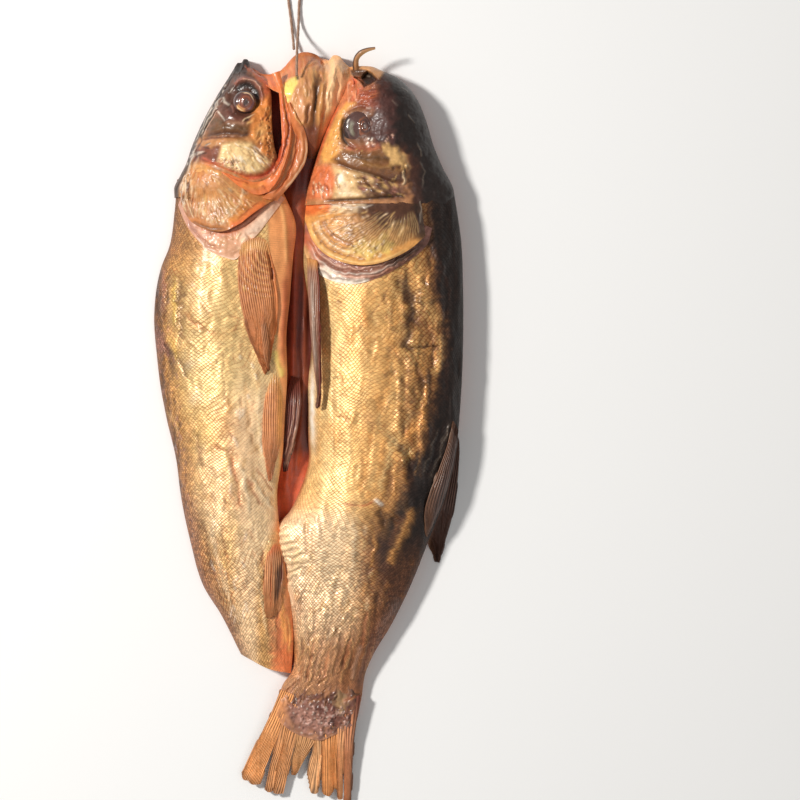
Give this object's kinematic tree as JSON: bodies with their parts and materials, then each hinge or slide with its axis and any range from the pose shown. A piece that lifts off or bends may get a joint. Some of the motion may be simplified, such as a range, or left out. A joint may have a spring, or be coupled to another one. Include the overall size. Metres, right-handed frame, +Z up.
{
  "type": "smoked fish",
  "caption": "Whole smoked carp, split along the back and opened flat, lying skin side up with a loop of twine through its jaw.",
  "frame": {"origin": "on the table, under the middle of the fish's bounding box, with the twine left out", "axes": "+Y from the tail to the heads, +X from the left half to the right half, +Z up out of the skin side"},
  "size_m": [0.2332, 0.6314, 0.0516],
  "materials": {
    "smoked_skin": "oily golden-brown scaled skin, glossy, dark along the back",
    "twine": "two-ply brown natural-fibre twine, matt"
  },
  "bodies": {
    "root": {"fish": "smoked_skin", "twine": "twine"}
  },
  "joints": []
}
